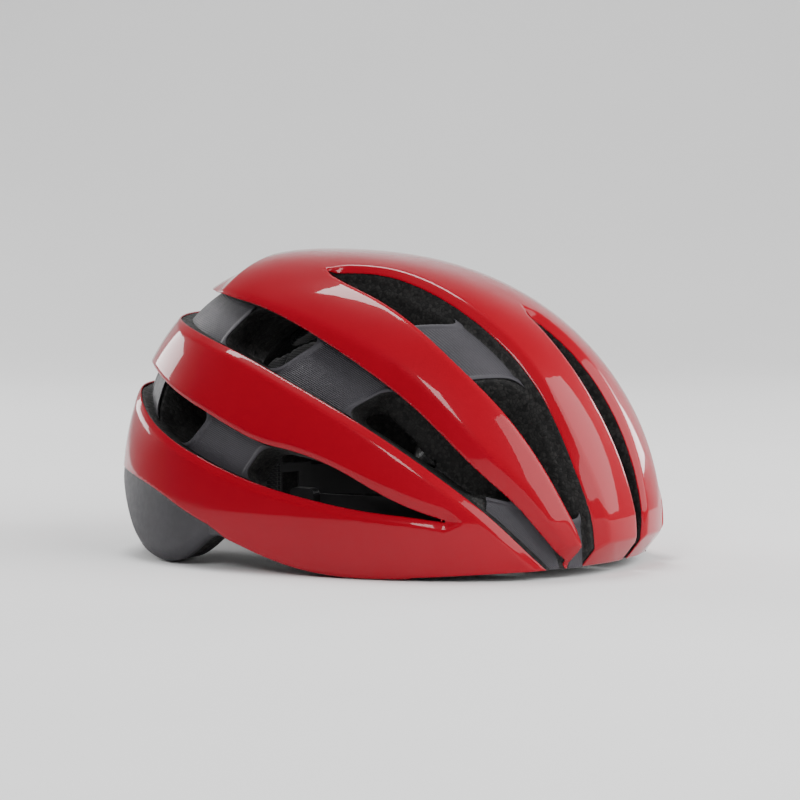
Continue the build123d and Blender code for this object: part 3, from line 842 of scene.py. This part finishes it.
def web(solve, first, second, t_range, channel, groove):
    """A thin grooved panel between two lines, cut to its channel, the rim and the windows."""
    t = np.arange(t_range[0], t_range[1] + WEB_RUN / 2, WEB_RUN)
    widest = np.abs(second.at(t) - first.at(t)).max() + 2.0
    across = np.linspace(-1.0, 1.0, int(widest / WEB_STEP)) * widest / 2
    tt, aa = np.meshgrid(t, across, indexing="ij")
    level = (first.at(tt) + second.at(tt)) / 2 + aa
    flat = Fields(*solve(tt, level, PANEL_DEPTH).reshape(-1, 3).T)
    away = np.min(flat.windows(), 0).reshape(tt.shape)
    ridge = groove * (0.5 - 0.5 * np.cos(2 * math.pi * aa / GROOVE_PITCH)) * step((away - LIP_WIDTH) / 0.8)
    depth = PANEL_DEPTH + ridge - LIP_RISE * step((LIP_WIDTH - away) / 1.2)
    place = solve(tt, level, depth)
    along, over = np.gradient(place, axis=0), np.gradient(place, axis=1)
    normal = np.cross(over, along)
    normal /= np.linalg.norm(normal, axis=2)[:, :, None]
    middle = np.array([0.0, DOME_MIDDLE, 40.0])
    if ((place - middle) * normal).sum() < 0:
        normal = -normal
    rows, columns = tt.shape
    index = np.arange(rows * columns).reshape(rows, columns)
    quads = np.stack([index[:-1, :-1], index[1:, :-1], index[1:, 1:], index[:-1, 1:]], -1).reshape(-1, 4)
    p, n, tri = place.reshape(-1, 3), normal.reshape(-1, 3), triangles_of(quads)
    facing = np.cross(p[tri[0, 1]] - p[tri[0, 0]], p[tri[0, 2]] - p[tri[0, 0]]) @ n[tri[0, 0]]
    if facing < 0:
        tri = tri[:, ::-1]
    for value in (lambda f: -0.2 - getattr(f, channel), lambda f: np.min(f.windows(), 0),
                  lambda f: -0.4 - f.rim):
        p, n, tri = clip(p, n, tri, value(Fields(*p.T)))
    return compact(p, n, tri)


def mirrored(piece):
    """The same piece on the other side of the helmet."""
    p, n, t = piece
    return p * (-1, 1, 1), n * (-1, 1, 1), t[:, ::-1]


for name, spec in {
        "upper_web": (on_round, BAND_UPPER, RIB_LOWER, (-60, 46), "upper", 0.32),
        "side_brow_panel": (on_round, BAND_UPPER, RIB_LOWER, (-127, -92), "upper", 0.12),
        "lower_web": (on_round, LOW_UPPER, BAND_LOWER, (12, 84), "lower", 0.12),
        "crown_web": (on_over, INNER_RIB, RIB_UPPER, (-4, 72), "rib", 0.32),
        "front_brow_panel": (on_over, INNER_RIB, RIB_UPPER, (-97, -58), "rib", 0.12)}.items():
    piece = web(*spec)
    for side, one in (("_right", piece), ("_left", mirrored(piece))):
        skin = skin_object(name + side + "_skin", [one], DARK, PANEL_THICK)
        part_of(name + side, skin)
for name, spec in {
        "tail_panel": (on_round, BAND_UPPER, RIB_LOWER, (52, REAR_END), "upper", 0.12),
        "rear_webs": (on_round, LOW_UPPER, BAND_LOWER, (98, REAR_END), "lower", 0.12)}.items():
    piece = web(*spec)
    skin = skin_object(name + "_skin", [piece, mirrored(piece)], DARK, PANEL_THICK)
    part_of(name, skin)


# ---------------------------------------------------------------- pads, in metres
PAD_CELL = 0.0016
PAD_SWELL = 0.0005
FILL_FRAMES = 20
STITCH_WIDTH = 0.0011
STITCH_DEPTH = 0.0008
ARC_RADIUS = 0.09
CRADLE_MIDDLE = 0.025
# Piece, body, and the pitch of its stitched lines: along the helmet, or if negative round the head.
PADS = [("brow_pad", "helmet", -0.02), ("crown_pad", "helmet", 0.022), ("side_pad_left", "helmet", 0.02),
        ("side_pad_right", "helmet", 0.02), ("cradle_pad_left", "cradle", -0.012),
        ("cradle_pad_right", "cradle", -0.012)]


def bare_mesh(obj):
    """A new mesh of an object as its modifiers leave it."""
    graph = bpy.context.evaluated_depsgraph_get()
    return bpy.data.meshes.new_from_object(obj.evaluated_get(graph))


def pad_blank(name):
    """A copy of a CAD pad with an even mesh, ready to be inflated."""
    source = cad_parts[name]
    blank = bpy.data.objects.new(name + "_pad", source.data.copy())
    bpy.context.scene.collection.objects.link(blank)
    remesh = blank.modifiers.new("even", "REMESH")
    remesh.mode = "VOXEL"
    remesh.voxel_size = PAD_CELL
    even = bare_mesh(blank)
    blank.modifiers.clear()
    blank.data = even
    return blank


def inflate(blanks):
    """Each pad filled like a cushion, with no gravity, and swollen by PAD_SWELL at most."""
    for blank in blanks:
        cloth = blank.modifiers.new("fill", "CLOTH")
        cloth.settings.quality = 4
        cloth.settings.mass = 0.2
        cloth.settings.tension_stiffness = 20.0
        cloth.settings.compression_stiffness = 20.0
        cloth.settings.bending_stiffness = 2.0
        cloth.settings.use_pressure = True
        cloth.settings.uniform_pressure_force = 4.0
        cloth.settings.effector_weights.gravity = 0.0
        cloth.collision_settings.use_collision = False
        cloth.point_cache.frame_start = 1
        cloth.point_cache.frame_end = FILL_FRAMES
    scene = bpy.context.scene
    for number in range(1, FILL_FRAMES + 1):
        scene.frame_set(number)
    for blank in blanks:
        full = bare_mesh(blank)
        rest = np.array([v.co for v in blank.data.vertices])
        moved = np.array([v.co for v in full.vertices]) - rest
        size = np.linalg.norm(moved, axis=1)[:, None] + 1e-9
        moved *= np.minimum(size, PAD_SWELL) / size
        blank.modifiers.clear()
        blank.data.vertices.foreach_set("co", (rest + moved).ravel())
        blank.data.update()
    scene.frame_set(1)


def quilt(blank, pitch, middle):
    """Rounds a pad off, and sinks stitched lines across it at even spacing."""
    even = blank.modifiers.new("round", "SUBSURF")
    even.levels = 1
    even.render_levels = 1
    fine = bare_mesh(blank)
    blank.modifiers.clear()
    blank.data = fine
    count = len(fine.vertices)
    place = np.array([v.co for v in fine.vertices])
    normal = np.array([v.normal for v in fine.vertices]).reshape(count, 3)
    run = place[:, 1] if pitch > 0 else np.arctan2(place[:, 0], middle - place[:, 1]) * ARC_RADIUS
    phase = np.abs((run / abs(pitch) + 0.5) % 1.0 - 0.5) * abs(pitch)
    dip = np.exp(-(phase / STITCH_WIDTH) ** 2) * STITCH_DEPTH
    fine.vertices.foreach_set("co", (place - normal * dip[:, None]).ravel())
    fine.update()
    fine.polygons.foreach_set("use_smooth", [True] * len(fine.polygons))
    fine.materials.clear()
    fine.materials.append(KNIT)


blanks = [pad_blank(name) for name, _, _ in PADS]
inflate(blanks)
for blank, (name, body, pitch) in zip(blanks, PADS):
    quilt(blank, pitch, CRADLE_MIDDLE if body == "cradle" else 0.0)
    part_of(name, blank, body)


# ---------------------------------------------------------------- stage, light and camera, in metres
# Towards the camera, as a unit vector, and the point that it looks at.
TO_CAMERA = Vector((-0.8627, -0.4981, 0.0872))
TARGET = Vector((-0.0003, -0.0032, 0.080))
DISTANCE = 2.0
FLOOR_FRONT = -1.5
FLOOR_END = 1.2
FLOOR_CURVE = 0.9
FLOOR_HALF = 4.0
FLOOR_DROP = 0.0002
WALL_TOP = 3.2
WORLD_STRENGTH = 0.2
# Name, place, width and height, and power in watts.
LIGHTS = [
    ("front_softbox", (0.15, -1.35, 0.80), (2.2, 1.3), 46.0),
    ("rear_softbox", (0.15, 1.55, 0.55), (0.8, 0.6), 18.0),
    ("far_softbox", (1.5, -0.55, 0.5), (0.45, 0.55), 9.0),
    ("key_softbox", (-1.5, -0.3, 1.2), (0.36, 0.65), 11.0),
    ("top_softbox", (0.15, 0.35, 1.7), (0.45, 0.75), 20.0),
]


def stage_all():
    """A pale floor that curves up into a backdrop, and soft lights."""
    bend = np.linspace(0, math.pi / 2, 17)[1:]
    profile = [(FLOOR_FRONT, 0.0), (FLOOR_END, 0.0)]
    profile += [(FLOOR_END + FLOOR_CURVE * math.sin(a), FLOOR_CURVE * (1 - math.cos(a))) for a in bend]
    profile.append((FLOOR_END + FLOOR_CURVE, WALL_TOP))
    back = Vector((-TO_CAMERA.x, -TO_CAMERA.y, 0.0)).normalized()
    side = Vector((-back.y, back.x, 0.0))
    verts = [back * t + side * s + Vector((0, 0, z - FLOOR_DROP))
             for t, z in profile for s in (-FLOOR_HALF, FLOOR_HALF)]
    faces = [(2 * i, 2 * i + 1, 2 * i + 3, 2 * i + 2) for i in range(len(profile) - 1)]
    mesh = bpy.data.meshes.new("floor")
    mesh.from_pydata(verts, [], faces)
    mesh.polygons.foreach_set("use_smooth", [True] * len(faces))
    floor = bpy.data.objects.new("floor", mesh)
    bpy.context.scene.collection.objects.link(floor)
    paper = material("paper", Specular_IOR_Level=0.2)
    colour = ramp(paper, noise(paper, 3.0), grey(0.80), grey(0.83), 0.3, 0.7)
    rough = ramp(paper, noise(paper, 60.0), grey(0.8), grey(0.9), 0.3, 0.7)
    shade(paper, Base_Color=colour, Roughness=rough)
    mesh.materials.append(paper)
    for name, place, size, power in LIGHTS:
        lamp = bpy.data.lights.new(name, "AREA")
        lamp.shape = "RECTANGLE"
        lamp.size, lamp.size_y = size
        lamp.energy = power
        obj = bpy.data.objects.new(name, lamp)
        obj.location = place
        aim = Vector((0, 0, TARGET.z)) - Vector(place)
        obj.rotation_euler = aim.to_track_quat("-Z", "Y").to_euler()
        bpy.context.scene.collection.objects.link(obj)
    world = bpy.context.scene.world or bpy.data.worlds.new("world")
    bpy.context.scene.world = world
    world.use_nodes = True
    background = world.node_tree.nodes["Background"]
    background.inputs["Color"].default_value = (1, 1, 1, 1)
    background.inputs["Strength"].default_value = WORLD_STRENGTH


stage_all()
camera = bpy.data.objects.new("camera", bpy.data.cameras.new("camera"))
camera.data.sensor_width = 36.0
camera.data.lens = 173.4
camera.data.clip_start = 0.05
camera.location = TARGET + TO_CAMERA * DISTANCE
camera.rotation_euler = (-TO_CAMERA).to_track_quat("-Z", "Y").to_euler()
bpy.context.scene.collection.objects.link(camera)
bpy.context.scene.camera = camera

# ---------------------------------------------------------------- finish
SATIN_NODES = ("front_headband", "temple_anchor_left", "temple_anchor_right", "strap_anchors",
               "height_rail", "cradle_frame", "dial_housing", "arm_left", "arm_right", "dial_pinion")
hard = {name: SATIN for name in SATIN_NODES}
hard.update({"dial_knob": RUBBER, "dial_screw": ZINC, "housing_screws": ZINC})
for name, made in hard.items():
    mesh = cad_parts[name].data
    mesh.materials.clear()
    mesh.materials.append(made)
